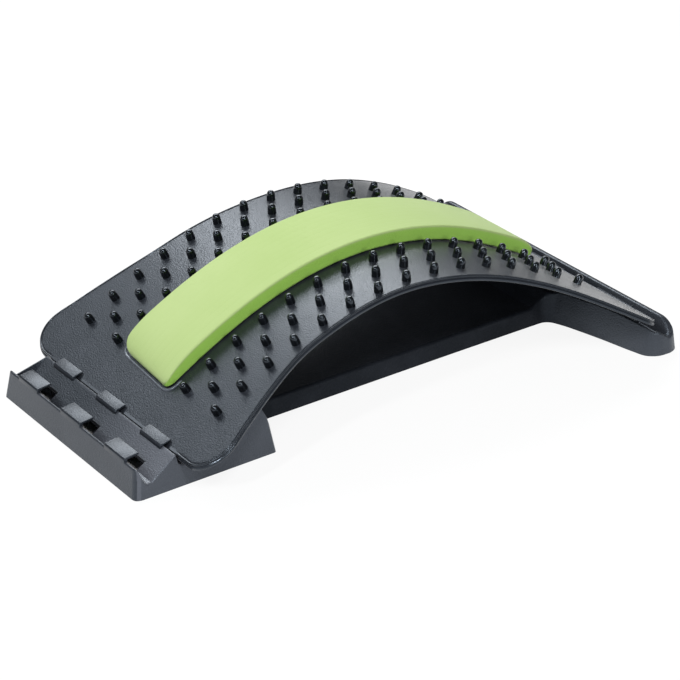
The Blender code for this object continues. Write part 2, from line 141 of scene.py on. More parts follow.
plate = {
    "plan": [  # x and half width between the two corner arcs
        (-0.1430, 0.1020), (-0.1270, 0.0972), (-0.1050, 0.0902), (-0.0800, 0.0838), (-0.0500, 0.0815),
        (0.0050, 0.0811), (0.0400, 0.0854), (0.0750, 0.0925), (0.1100, 0.1022), (0.1450, 0.1163),
        (0.1640, 0.1227),
    ],
    "left": -0.1612,
    "right": 0.1765,
    "leftCorner": 0.0165,      # how much a corner takes off the width
    "farCornerMore": 0.0065,   # how much more the far left corner takes off than the near one
    "rightCorner": 0.0125,
    "rimTilt": 0.35,        # the rim leans this share of the face's own slope
    "plainEnd": (0.0040, 0.0020),    # the rim is plain up to this far from the left end, fading over this
    "plainSide": (0.0790, 0.0060),   # and up to this y, fading over this
    "plainDepth": 0.0006,   # a plain rim has no bead above this depth, and below it
    "plainInset": 0.0002,   # it is nowhere further in than this,
    "grooveReach": 0.0010,  # but what is further in than this is the rim's inside
    "farExtra": [  # arc length, and how much wider the plate is on its far side than on its near side
        (-0.165, 0.0010), (-0.130, 0.0018), (-0.100, 0.0023), (-0.070, 0.0022), (-0.040, 0.0019),
        (-0.010, 0.0014), (0.020, 0.0005), (0.050, 0.0),
    ],
    "across": 84,         # columns of faces across the plate
    "along": 170,
    "cornerSteps": 26,
}

# The rim from the face outwards and round to the underside: out from the plate's edge, up from its face,
# and how smooth the moulding is there, 0 for the grained face and 1 for the polished bead; the plate is
# 2.6 mm thick and its rim is turned down 3.6 mm
rimProfile = [
    (-0.00330, 0.00000, 0.0), (-0.00240, 0.00000, 0.0), (-0.00214, -0.00005, 0.3),
    (-0.00200, -0.00022, 0.8), (-0.00188, -0.00044, 1.0), (-0.00172, -0.00050, 1.0),
    (-0.00158, -0.00040, 1.0), (-0.00145, -0.00012, 1.0), (-0.00128, 0.00008, 1.0),
    (-0.00104, 0.00017, 1.0), (-0.00078, 0.00014, 1.0), (-0.00056, -0.00002, 1.0),
    (-0.00044, -0.00026, 1.0), (-0.00042, -0.00054, 1.0), (-0.00054, -0.00086, 1.0),
    (-0.00084, -0.00112, 1.0), (-0.00092, -0.00134, 1.0), (-0.00076, -0.00156, 1.0),
    (-0.00034, -0.00172, 1.0), (-0.00010, -0.00190, 1.0), (0.00000, -0.00220, 1.0),
    (0.00000, -0.00260, 1.0), (-0.00002, -0.00310, 0.8), (-0.00012, -0.00340, 0.8),
    (-0.00036, -0.00357, 0.8), (-0.00070, -0.00360, 0.6), (-0.00150, -0.00360, 0.4),
    (-0.00190, -0.00352, 0.4), (-0.00212, -0.00330, 0.4), (-0.00230, -0.00290, 0.4),
    (-0.00262, -0.00266, 0.3), (-0.00320, -0.00260, 0.3),
]


def capQuads(count):
    # faces that close a ring of count points, an even number, by stitching its two halves together
    k = np.arange(count // 2 - 1)
    return np.stack([k, k + 1, count - 2 - k, count - 1 - k], -1)


def quarterDrop(reach, depth, drop):
    # what a quarter ellipse, reach long and drop deep, takes off the half width at depth into the corner
    t = np.clip(depth / reach, 0.0, 1.0)
    return drop * (1 - np.sqrt(1 - t * t))


def plateEdge():
    # near edge of the plate from its left end to its right, as arc length and y
    left, right = plate["plan"][0], plate["plan"][-1]
    turn = np.linspace(0, np.pi / 2, plate["cornerSteps"], endpoint=False)
    first = left[0] - (left[0] - plate["left"]) * np.cos(turn)
    last = right[0] + (plate["right"] - right[0]) * np.cos(turn[::-1])
    x = np.concatenate([first, np.linspace(left[0], right[0], plate["along"]), last])
    half = hermite(np.clip(x, left[0], right[0]), plate["plan"])
    half -= quarterDrop(left[0] - plate["left"], left[0] - x, plate["leftCorner"])
    half -= quarterDrop(plate["right"] - right[0], x - right[0], plate["rightCorner"])
    return np.stack([archAt(x), -half], -1)


def edgeLoop(grid):
    # the border of a grid of points, in order: near side, right end, far side, left end
    near, far = grid[:-1, 0], grid[:0:-1, -1]
    return np.concatenate([near, grid[-1, :-1], far, grid[0, :0:-1]])


def outwardOf(loop):
    # unit normals of a closed loop that runs round its shape, in the plane of its two coordinates
    along = np.roll(loop, -1, 0) - np.roll(loop, 1, 0)
    out = np.stack([along[:, 1], -along[:, 0]], -1)
    return out / np.linalg.norm(out, axis=1, keepdims=True)


def edgeNumbers(rows, columns, start):
    # the corner numbers of a grid's border, in the same order as edgeLoop
    n = np.arange(rows * columns).reshape(rows, columns) + start
    return np.concatenate([n[:-1, 0], n[-1, :-1], n[:0:-1, -1], n[0, :0:-1]])


def closedSkin(top, rings, bottom):
    # points and faces of a top grid, rings that run on from its border, and a bottom grid that closes them
    rows, columns = top.shape[:2]
    size = rows * columns
    loops = [edgeNumbers(rows, columns, 0)]
    for k, ring in enumerate(rings):
        loops.append(size + k * len(ring) + np.arange(len(ring)))
    start = size + sum(len(ring) for ring in rings)
    loops.append(edgeNumbers(rows, columns, start))
    faces = [gridQuads(rows, columns)[:, ::-1], gridQuads(rows, columns, start)]
    for near, far in zip(loops, loops[1:]):
        faces.append(np.stack([near, far, np.roll(far, -1), np.roll(near, -1)], -1))
    points = np.concatenate([top.reshape(-1, 3), *rings, bottom.reshape(-1, 3)])
    return points, np.concatenate(faces)


def buildPlate():
    # The face is a grid in arc length and y, bent onto the arch; the rim is rimProfile swept round its border
    edge = plateEdge()
    share = np.linspace(-1, 1, plate["across"] + 1)

    def grid(side):
        # the near edge mirrored to the far side, widened there, and even steps across between the two
        s = np.repeat(side[:, :1], len(share), 1)
        extra = np.interp(side[:, :1], *np.array(plate["farExtra"]).T)
        start = plate["plan"][0][0]
        x = np.interp(side[:, :1], archS, archX)
        extra = extra - quarterDrop(start - plate["left"], start - x, plate["farCornerMore"])
        return np.stack([s, (np.where(share > 0, extra, 0) - side[:, 1:]) * share], -1)

    border = edgeLoop(grid(edge))
    normal = outwardOf(border)
    x = np.interp(border[:, 0], archS, archX)
    endReach, endFade = plate["plainEnd"]
    sideReach, sideFade = plate["plainSide"]
    plain = np.clip((plate["left"] + endReach - x) / endFade, 0, 1)
    plain *= np.clip((sideReach - np.abs(border[:, 1])) / sideFade, 0, 1)
    plain = plain[:, None]

    def ring(outward, up):
        # one line of the rim round the plate, level with the face and without its groove where it is plain
        above = up > -plate["plainDepth"]
        flatUp = 0.0 if above else up
        inside = outward < -plate["grooveReach"]
        flatOut = outward if above or inside else max(outward, -plate["plainInset"])
        moved = border + (outward + (flatOut - outward) * plain) * normal
        lift = (up + (flatUp - up) * plain)[:, 0]
        return onArch(moved[:, 0], moved[:, 1], lift, plate["rimTilt"] if up < 0 else 1.0)

    def inset(outward, up):
        # the whole grid pulled in from the plate's edge, at one height over the face
        side = edge + outward * normal[: len(edge)]
        side[0, 0] = edge[0, 0] - outward
        side[-1, 0] = edge[-1, 0] + outward
        g = grid(side)
        return onArch(g[..., 0], g[..., 1], up)

    top = inset(*rimProfile[0][:2])
    bottom = inset(*rimProfile[-1][:2])
    rings = [ring(outward, up) for outward, up, _ in rimProfile[1:-1]]
    points, faces = closedSkin(top, rings, bottom)
    count = top.shape[0] * top.shape[1]
    smoothness = [np.full(len(border), smooth) for _, _, smooth in rimProfile[1:-1]]
    smoothness = [np.full(count, rimProfile[0][2]), *smoothness, np.full(count, rimProfile[-1][2])]
    made = makeMesh("archPlateShell", points, faces, np.concatenate(smoothness))
    print("arch plate", len(faces), "faces")
    return made


nub = {
    "count": 15,
    "pitch": 0.02106,
    "middle": -0.0036,     # arc length from the crown to the middle of every row
    "fullRows": (-0.0726, -0.0390, 0.0390, 0.0726),
    "staggeredRows": (-0.0560, 0.0560),
    "sides": 20,
    "profile": [  # radius and height, from the foot to the top of the dome
        (0.00296, -0.00030), (0.00290, 0.00020), (0.00284, 0.00100), (0.00280, 0.00220), (0.00274, 0.00330),
        (0.00264, 0.00420), (0.00246, 0.00500), (0.00212, 0.00568), (0.00162, 0.00620), (0.00100, 0.00650),
        (0.00040, 0.00660),
    ],
}


def buildNubs():
    # Each nub is its profile turned about the face's normal, closed by a cap of four-sided faces
    full = nub["middle"] + (np.arange(nub["count"]) - (nub["count"] - 1) / 2) * nub["pitch"]
    between = (full[1:] + full[:-1]) / 2
    spots = [(s, y) for y in nub["fullRows"] for s in full]
    spots += [(s, y) for y in nub["staggeredRows"] for s in between]
    s0, y0 = np.array(spots).T
    radius, height = np.array(nub["profile"]).T
    turn = np.arange(nub["sides"]) * 2 * np.pi / nub["sides"]
    along = radius[:, None] * np.cos(turn)
    across = radius[:, None] * np.sin(turn)
    lean = slopeAt(s0)[:, None, None]
    foot = onArch(s0, y0, 0.0)[:, None, None, :]
    x = along * np.cos(lean) + height[:, None] * np.sin(lean)
    z = -along * np.sin(lean) + height[:, None] * np.cos(lean)
    y = np.broadcast_to(across, x.shape)
    points = foot + np.stack([x, y, z], -1)
    sides, rings = nub["sides"], len(radius)
    one, cap = gridQuads(rings, sides, closed=True), capQuads(sides)
    one = np.concatenate([one, cap + (rings - 1) * sides, cap[:, ::-1]])
    every = (one[None] + (np.arange(len(s0)) * rings * sides)[:, None, None]).reshape(-1, 4)
    made = makeMesh("acupressureNubs", points.reshape(-1, 3), every)
    print("nubs", len(s0), "with", len(every), "faces")
    return made


foam = {
    "left": -0.1350,
    "right": 0.1462,
    "half": 0.0275,
    "thick": 0.0094,
    "under": 0.0010,       # film and gaps between the strip and the face
    "roll": (0.0300, 0.0190),     # length over which the left and the right end roll down
    "rollDrop": 0.82,      # share of the thickness that an end has lost at its tip
    "nearCorner": 0.0055,
    "farCorner": 0.0100,
    "cornerDrop": 0.85,    # share of a corner's size that it takes off the width at the tip
    "skew": 0.0020,        # the left end runs this much further on the near side, and as much less on the far
    "skewReach": 0.030,    # and the slant has died out this far along
    "edgeRadius": 0.0010,  # rounding of the long top edges
    "sideLean": 0.0004,    # how far the sides lean in from foot to edge
    "crown": 0.00025,      # how much fuller the top is along its middle
    "skin": (0.35, 0.0, 0.0, 0.0, 0.0, 0.2),   # share of the pale skin up the side, from its foot
    "stations": 190,
    "crowding": 0.9,       # how much closer the stations stand near the two ends, up to 1
    "groove": 0.00009,     # depth of the fine lines along its top,
    "grooveWidth": 0.0005,
    "grooveFade": 0.006,   # which fade out over this length at both ends
    "grooves": (-0.0205, -0.0150, -0.0093, -0.0035, 0.0024, 0.0082, 0.0139, 0.0196),
}


def buildFoam():
    # A section of side, rounded edge and top is swept along the arch; near each end its height follows a
    # quarter ellipse down to the face, and its width follows the corner's quarter ellipse
    start, end = archAt(foam["left"]), archAt(foam["right"])
    t = np.linspace(0, 1, foam["stations"])
    s = start + (end - start) * (t - foam["crowding"] * np.sin(2 * np.pi * t) / (2 * np.pi))
    depth = np.minimum(s - start, end - s)
    roll = np.where(s - start < end - s, *foam["roll"])
    thick = foam["thick"] * (1 - quarterDrop(roll, roll - depth, foam["rollDrop"]))

    def halfWidth(corner):
        return foam["half"] - quarterDrop(corner, corner - depth, corner * foam["cornerDrop"])

    nearHalf, farHalf = halfWidth(foam["nearCorner"]), halfWidth(foam["farCorner"])
    r, lean = foam["edgeRadius"], foam["sideLean"]
    turn = np.linspace(0, np.pi / 2, 7)
    sideUp = np.array([0.0, 0.10, 0.30, 0.55, 0.78, 0.93])   # share of the straight side
    topAcross = np.linspace(-1, 1, 121)
    # the near half of the section, as inset from the half width and share of the height
    rows = []
    for up in sideUp:
        rows.append((np.full_like(s, lean * up), up * (thick - r)))
    for a in turn:
        rows.append((lean + r * (1 - np.cos(a)) + 0 * s, thick - r + r * np.sin(a)))
    inset = np.array([row[0] for row in rows])
    height = np.array([row[1] for row in rows])
    share = (topAcross[:, None] + 1) / 2
    topY = (farHalf - inset[-1]) * share - (nearHalf - inset[-1]) * (1 - share)
    lines = sum(grooveLine(topY - g, foam["grooveWidth"]) for g in foam["grooves"])
    fade = np.clip((s - start) / foam["grooveFade"], 0, 1) * np.clip((end - s) / foam["grooveFade"], 0, 1)
    topZ = thick - foam["groove"] * lines * fade + foam["crown"] * (1 - topAcross[:, None] ** 2)
    nearY, nearZ = -(nearHalf - inset), height
    farY, farZ = (farHalf - inset)[::-1], height[::-1]
    across = np.linspace(1, 0, 25)[1:-1, None]
    bottomY = farHalf * across - nearHalf * (1 - across)
    y = np.concatenate([nearY, topY[1:-1], farY, bottomY])
    z = np.concatenate([nearZ, topZ[1:-1], farZ, 0 * bottomY])
    sides = len(rows)
    skin = np.concatenate([foam["skin"], np.ones(sides - len(foam["skin"]))])
    skin = np.concatenate([skin, np.ones(len(topY) - 2), skin[::-1], np.zeros(len(bottomY))])
    around = len(y)
    slanted = np.clip(1 - (s - start) / foam["skewReach"], 0, 1)[:, None] ** 2
    slant = foam["skew"] * y.T / foam["half"] * slanted
    points = onArch(s[:, None] + slant, y.T, foam["under"] + z.T)
    body = gridQuads(len(s), around, closed=True)
    cap, last = capQuads(around), (len(s) - 1) * around
    faces = np.concatenate([body[:, ::-1], cap, (cap + last)[:, ::-1]])
    made = makeMesh("foamStripPad", points.reshape(-1, 3), faces, np.tile(skin, len(s)))
    print("foam strip", len(faces), "faces")
    return made


lip = {
    "offset": 0.0020,       # from the foam's edge to the middle of the bead
    "radius": 0.0010,
    "back": 0.0120,         # how far its two legs run back along the foam
    "corner": 0.0055,
    "sunk": 0.0001,         # how far the bead's middle lies below the face
    "tip": 0.25,            # share of the radius that is left at its two tips
    "fadeSteps": 4,
    "sides": 12,
    "turnSteps": 14,
    "straightSteps": 8,
    "acrossSteps": 12,
}


def buildFoamLip(name, end, inward):
    # A round bead swept along a U on the face: straight, quarter turn, across, quarter turn, straight
    reach = lip["corner"] + lip["offset"]
    side = foam["half"] + lip["offset"]
    turn = np.linspace(0, np.pi / 2, lip["turnSteps"])
    corner = np.stack([reach * (1 - np.sin(turn)), side - reach * (1 - np.cos(turn))], -1)
    steps = lip["straightSteps"]
    straight = np.stack([np.linspace(lip["back"], reach, steps, endpoint=False), np.full(steps, side)], -1)
    half = np.concatenate([straight, corner])
    across = np.linspace(half[-1, 1], 0, lip["acrossSteps"])[1:]
    half = np.concatenate([half, np.stack([0 * across, across], -1)])
    path = np.concatenate([half, half[-2::-1] * (1, -1)])
    outer = archAt(end) - inward * lip["offset"]
    flat = np.stack([outer + inward * path[:, 0], path[:, 1]], -1)
    along = np.gradient(flat, axis=0)
    along /= np.linalg.norm(along, axis=1, keepdims=True)
    normal = np.stack([-along[:, 1], along[:, 0]], -1)
    fromTip = np.minimum(np.arange(len(path)), np.arange(len(path))[::-1])
    fade = np.sin(np.clip(fromTip / lip["fadeSteps"], 0, 1) * np.pi / 2)
    radius = lip["radius"] * (lip["tip"] + (1 - lip["tip"]) * fade)
    turn = np.arange(lip["sides"]) * 2 * np.pi / lip["sides"]
    moved = flat[:, None] + normal[:, None] * (radius[:, None] * np.cos(turn))[..., None]
    lift = radius[:, None] * np.sin(turn) - lip["sunk"]
    if inward > 0:
        moved[..., 0] += foam["skew"] * moved[..., 1] / foam["half"]
    points = onArch(moved[..., 0], moved[..., 1], lift)
    body = gridQuads(len(path), lip["sides"], closed=True)
    cap, last = capQuads(lip["sides"]), (len(path) - 1) * lip["sides"]
    faces = np.concatenate([body, cap[:, ::-1], cap + last])
    made = makeMesh(name, points.reshape(-1, 3), faces)
    print(name, len(faces), "faces")
    return made


film = {
    "endGap": 0.005,       # how far short of the foam's ends it stops
    "half": 0.025,
    "low": 0.0003,         # its two faces over the arch's
    "high": 0.0007,
    "stations": 90,
}


def buildFilm():
    # the adhesive film: a rectangle swept along the arch, closed at both ends
    start, end = archAt(foam["left"]) + film["endGap"], archAt(foam["right"]) - film["endGap"]
    s = np.linspace(start, end, film["stations"])
    y = film["half"] * np.array([-1, 1, 1, -1])
    lift = np.array([film["low"], film["low"], film["high"], film["high"]])
    points = onArch(s[:, None], y[None], lift[None])
    body = gridQuads(len(s), 4, closed=True)
    cap, last = capQuads(4), (len(s) - 1) * 4
    faces = np.concatenate([body, cap[:, ::-1], cap + last])
    made = makeMesh("foamAdhesiveSheet", points.reshape(-1, 3), faces)
    made.data.set_sharp_from_angle(angle=math.radians(30))
    print("adhesive film", len(faces), "faces")
    return made


base = {
    "reach": (0.1924, 0.1240),   # no wall reaches further than this in x and y
    "draft": 0.15,          # how far the walls lean in, per unit of height
    "wall": 0.0022,         # of the moulding, as seen from below,
    "wallMore": 0.0002,     # how much thicker its walls are at the top,
    "topLeast": 0.0006,     # and the least thickness of its top
    "edge": 0.0011,         # rounding along the top of the notch block's walls
    "blockHalf": 0.0784,
    "blockLeft": -0.1924,
    "blockRight": -0.0932,
    "endHeights": (0.0184, 0.0118),   # of the top at the block's left and right end
    "cornerNear": 0.0045,
    "cornerFar": 0.0028,
    "cornerFade": (0.0040, 0.0030),   # lengths in x and y over which a corner's walls turn to its side
    "middle": 0.0680,       # lines across the block are straight out to here
    "notches": [(-0.1828, 0.0086), (-0.1592, 0.0132), (-0.1352, 0.0167)],
    "ridges": [(-0.1628, 0.0203), (-0.1388, 0.0241)],
    "lip": (-0.1888, 0.0186),
    "crest": (-0.1052, 0.0330),
    "web": [(-0.1872, 0.0131), (-0.1635, 0.0199)],  # top of the wall that closes the first notch's far end
    "webThick": 0.0016,
    "tabPlaces": (-0.0510, 0.0, 0.0510),
    "tabLength": 0.0230,
    "holeHalf": 0.0095,
    "holeReach": (0.0004, 0.0084),   # of the mould openings, from each notch's bottom
    "bend": 0.0009,         # rounding of the notches and ridges
    "paintedLightEnd": 0.18,       # how much painted light the end wall takes,
    "paintedLightSide": 0.55,      # the side walls take,
    "paintedHighlightEdge": 1.0,       # and the painted highlight along their rounded top edges and corners
    "paintedSheenRamp": (0.15, 0.0800),   # the painted sheen on the ramps along the middle, and over what y it grows by 1 towards the near side
    "tabRadius": 0.0004,
    "tabBend": 0.0005,
}

# The tabs seen from the side, as x and z from the lip's or the ridge's own point
lipTab = [
    (0.0092, 0.0026), (0.0086, 0.0019), (0.0016, 0.0011), (0.0010, -0.0030), (-0.0010, -0.0030),
    (-0.0010, 0.0012), (-0.0003, 0.0022), (0.0088, 0.0033),
]
ridgeTab = [
    (0.0055, 0.0022), (0.0052, 0.0016), (0.0008, 0.0005), (0.0002, -0.0030), (-0.0027, -0.0026),
    (-0.0024, 0.0002), (-0.0015, 0.0012), (0.0052, 0.0028),
]


def bent(points, radius, steps, closed=False):
    # the line through the points with each corner replaced by a curve that starts radius x tan(turn / 2)
    # before it; an open line keeps its two ends
    p = np.array(points, float)
    before, after = np.roll(p, 1, 0) - p, np.roll(p, -1, 0) - p
    lengthBefore = np.linalg.norm(before, axis=1, keepdims=True)
    lengthAfter = np.linalg.norm(after, axis=1, keepdims=True)
    before, after = before / lengthBefore, after / lengthAfter
    turn = np.arccos(np.clip(-(before * after).sum(1, keepdims=True), -1, 1))
    radius = np.broadcast_to(np.atleast_1d(radius), len(p))[:, None]
    reach = np.minimum(radius * np.tan(turn / 2), 0.45 * np.minimum(lengthBefore, lengthAfter))
    t = np.linspace(0, 1, steps)[None, :, None]
    corner, start, end = p[:, None], (p + before * reach)[:, None], (p + after * reach)[:, None]
    curve = (1 - t) ** 2 * start + 2 * t * (1 - t) * corner + t**2 * end
    if closed:
        return curve.reshape(-1, 2)
    return np.concatenate([p[:1], curve[1:-1].reshape(-1, 2), p[-1:]])


def withStations(line, gap, forced=()):
    # the same line with points added so that no step is longer than gap, and at the forced values of x
    length = np.concatenate([[0], np.cumsum(np.linalg.norm(np.diff(line, axis=0), axis=1))])
    even = np.linspace(0, length[-1], int(length[-1] / gap) + 2)
    stops = np.unique(np.round(np.concatenate([length, even, np.interp(forced, line[:, 0], length)]), 6))
    return np.stack([np.interp(stops, length, line[:, 0]), np.interp(stops, length, line[:, 1])], -1)


def notchLine():
    # the notch block's top seen from the side: lip, three notches with their ramps, crest, inner slope
    def notch(bottom, ridge):
        x, z = bottom
        up = [(ridge[0] - 0.0008, ridge[1] - 0.0003), ridge]
        return [(x - 0.0019, z + 0.0008), bottom, (x + 0.0022, z + 0.0003), *up]

    lip, ridges, notches = base["lip"], base["ridges"], base["notches"]
    points = [(base["blockLeft"] + 0.0020, 0.0182), lip]
    points += [(-0.1878, 0.0180), (-0.1874, 0.0163), (-0.1858, 0.0119)]
    points += notch(notches[0], ridges[0])
    for (x, z), bottom, following in zip(ridges, notches[1:], [ridges[1], (-0.1075, 0.0325)]):
        points += [(x + 0.0005, z - 0.0004), (x + 0.0007, z - 0.0048)]
        points += [(bottom[0] - 0.0022, bottom[1] + 0.0013), *notch(bottom, following)]
    slope = [(-0.1036, 0.0324), (-0.1008, 0.0293), (-0.0980, 0.0235), (-0.0958, 0.0170), (-0.0948, 0.0119)]
    return points + [base["crest"], *slope, (base["blockRight"] + 0.0010, 0.0118)]


def underside(line, wall):
    # the ceiling below a top line: the lowest of all circles of radius wall hung from the line
    reach = np.linspace(-wall, wall, 21)

    def ceiling(x):
        hung = np.interp(x[..., None] + reach, line[:, 0], line[:, 1]) - np.sqrt(wall**2 - reach**2)
        return np.maximum(hung.min(-1), 0.0015)

    return ceiling


def moulding(name, edge, farEdge, cross, height, ceiling, radius, paintedLight, holes=None, corners=None):
    # A hollow moulding, open below. edge and farEdge are its near and far outline at the top of its walls,
    # station by station, and cross(near, far) gives the y of every line across from one to the other. The
    # walls lean out from there to the floor by the draft, a quarter circle of that radius turns them into the
    # top, whose height is height(x, y), and the inside runs a wall's thickness behind both. The function
    # after radius gives how much painted light the plastic takes at each point, from 0 to 1.
    stations = len(edge)

    def grid(near, far):
        return np.stack([np.repeat(near[:, :1], len(cross(near, far)[0]), 1), cross(near, far)], -1)

    wallTop = edgeLoop(grid(edge, farEdge))
    lines = grid(edge, farEdge).shape[1]
    out = outwardOf(wallTop) if corners is None else corners(wallTop)
    lift = height(wallTop) - radius
    floor = np.clip(wallTop + out * (base["draft"] * lift)[:, None], -np.array(base["reach"]), base["reach"])

    def inset(distance):
        # the top grid pulled in by distance from the top of the walls
        loop = wallTop - out * distance
        near = loop[:stations]
        far = loop[stations + lines - 2 : 2 * stations + lines - 2][::-1]
        return grid(near, far)

    rings = []
    for turn in np.linspace(np.pi / 2, 0, 7)[1:]:
        loop = wallTop - out * (radius * (1 - np.cos(turn)))
        rings.append(np.column_stack([loop, height(loop) - radius * (1 - np.sin(turn))]))
    for share in (0.35, 0.7, 1.0):
        loop = wallTop + (floor - wallTop) * share
        rings.append(np.column_stack([loop, rings[5][:, 2] * (1 - share)]))
    rings.append(np.column_stack([floor - out * base["wall"], 0 * lift]))
    face = inset(radius)
    top = np.concatenate([face, height(face)[..., None]], -1)
    inner = inset(base["wall"] + base["wallMore"])
    bottom = np.minimum(ceiling(inner), height(inner) - base["topLeast"])
    bottom = np.concatenate([inner, bottom[..., None]], -1)
    points, faces = closedSkin(top, rings, bottom)
    if holes is not None:
        faces = pierced(faces, top, len(points) - bottom.shape[0] * bottom.shape[1], holes)
    made = makeMesh(name, points, faces, paintedLight(points))
    made.data.set_sharp_from_angle(angle=math.radians(50))
    print(name, len(faces), "faces")
    return made


def pierced(faces, top, underStart, holes):
    # takes the cells inside the holes out of the top and bottom grids and walls the gap between the two
    rows, columns = top.shape[:2]
    x = (top[1:, 0, 0] + top[:-1, 0, 0]) / 2
    y = (top[rows // 2, 1:, 1] + top[rows // 2, :-1, 1]) / 2
    gone = np.zeros((rows - 1, columns - 1), bool)
    for x0, x1, y0, y1 in holes:
        gone |= ((x > x0) & (x < x1))[:, None] & ((y > y0) & (y < y1))[None, :]
    cells = gone.size
    keep = np.concatenate([~gone.ravel(), ~gone.ravel(), np.ones(len(faces) - 2 * cells, bool)])
    n = np.arange(rows * columns).reshape(rows, columns)
    padded = np.pad(gone, 1)
    walls = []
    for axis, sign in ((0, 1), (0, -1), (1, 1), (1, -1)):
        border = padded & ~np.roll(padded, sign, axis)
        r, c = np.nonzero(border[1:-1, 1:-1])
        if axis == 0:
            r = r + (sign < 0)
            a, b = n[r, c], n[r, c + 1]
        else:
            c = c + (sign < 0)
            b, a = n[r, c], n[r + 1, c]
        if sign > 0:
            a, b = b, a
        walls.append(np.stack([a, b, b + underStart, a + underStart], -1))
    return np.concatenate([faces[keep], *walls])


def buildNotchBlock():
    # the top's height is the notch line's, raised at the far end of the first notch by the web; its outline
    # is a rectangle whose four corners are quarter circles
    edge = base["edge"]
    line = bent(notchLine(), base["bend"], 6)
    left, right, draft = base["blockLeft"], base["blockRight"], base["draft"]
    holes = []
    for x, _ in base["notches"]:
        for y in base["tabPlaces"]:
            near, far = x + base["holeReach"][0], x + base["holeReach"][1]
            holes.append((near, far, y - base["holeHalf"], y + base["holeHalf"]))
    forced = [hole[0] for hole in holes] + [hole[1] for hole in holes]
    web = np.array(base["web"])
    leftTop = left + draft * (base["endHeights"][0] - edge)
    rightTop = right - draft * (base["endHeights"][1] - edge)
    near, farCorner = base["cornerNear"], base["cornerFar"]
    turn = np.linspace(0, np.pi / 2, 12)
    x = np.concatenate([
        leftTop + near * (1 - np.cos(turn)), rightTop - near * (1 - np.cos(turn)),
        withStations(line, 0.0012, forced)[:, 0],
    ])
    x = np.unique(np.clip(x, leftTop, rightTop))
    x = x[np.concatenate([[True], np.diff(x) > 0.00006])]

    def height(at):
        x, y = at[..., 0], at[..., 1]
        z = np.interp(x, line[:, 0], line[:, 1])
        raised = np.interp(x, web[:, 0], web[:, 1], left=0, right=0)
        return np.where(y > base["blockHalf"] - draft * raised - base["webThick"], np.maximum(z, raised), z)

    def corner(depth, size):
        # what a rounded corner takes off the half width at that depth from the end
        return size - np.sqrt(size**2 - np.clip(size - depth, 0, size) ** 2)

    def outline(side, leftCorner):
        # the half width falls by the draft with the top's height just inside the wall
        atWall = np.stack([x, side * 0.0775 + 0 * x], -1)
        wide = base["blockHalf"] - draft * (height(atWall) - edge)
        wide -= corner(x - leftTop, leftCorner) + corner(rightTop - x, near)
        return np.stack([x, side * wide], -1)

    middle = base["middle"]
    marks = [place + side * base["holeHalf"] for place in base["tabPlaces"] for side in (-1, 1)]
    marks = [-middle, *marks, middle]
    straight = np.concatenate([np.linspace(a, b, 6, endpoint=False) for a, b in zip(marks, marks[1:])])
    outer = np.array([0.0, 0.05, 0.12, 0.30, 0.60])

    def cross(near, far):
        # straight lines over the middle, and shares of the way to each outline beyond it
        first = near[:, 1:] + (-middle - near[:, 1:]) * outer
        last = far[:, 1:] + (middle - far[:, 1:]) * outer[::-1]
        between = np.repeat(np.append(straight, middle)[None], len(near), 0)
        return np.concatenate([first, between, last], 1)

    def corners(loop):
        # both walls of a corner lean in together, so its rounding keeps its radius up the wall
        fadeX, fadeY = base["cornerFade"]
        endwise = np.clip((loop[:, 0] - rightTop + near + fadeX) / fadeX, 0, 1)
        endwise -= np.clip((leftTop + near + fadeX - loop[:, 0]) / fadeX, 0, 1)
        sideways = np.clip((np.abs(loop[:, 1]) - middle) / fadeY, 0, 1) * np.sign(loop[:, 1])
        return np.stack([endwise, sideways], -1)

    def paintedLight(points):
        # painted light: the side walls more than the end wall, a painted highlight along their rounded edges
        # most, and painted sheen on the ramps, more on the near side
        x, y, z = points.T
        inside = base["blockHalf"] - draft * z - np.abs(y)
        onTop = (inside > edge) & (x > leftTop + edge) & (x < base["crest"][0])
        walls = np.where(x < leftTop + 0.0010, base["paintedLightEnd"], base["paintedLightSide"])
        walls = np.where((inside > 0.0002) & (inside < edge), base["paintedHighlightEdge"], walls)
        rampSheen, over = base["paintedSheenRamp"]
        return np.where(onTop, np.clip(rampSheen - y / over, 0, 1), walls)

    ceiling = underside(line, base["wall"])
    return moulding("notchBlock", outline(-1, near), outline(1, farCorner), cross, height,
                    lambda at: ceiling(at[..., 0]), edge, paintedLight, holes, corners)


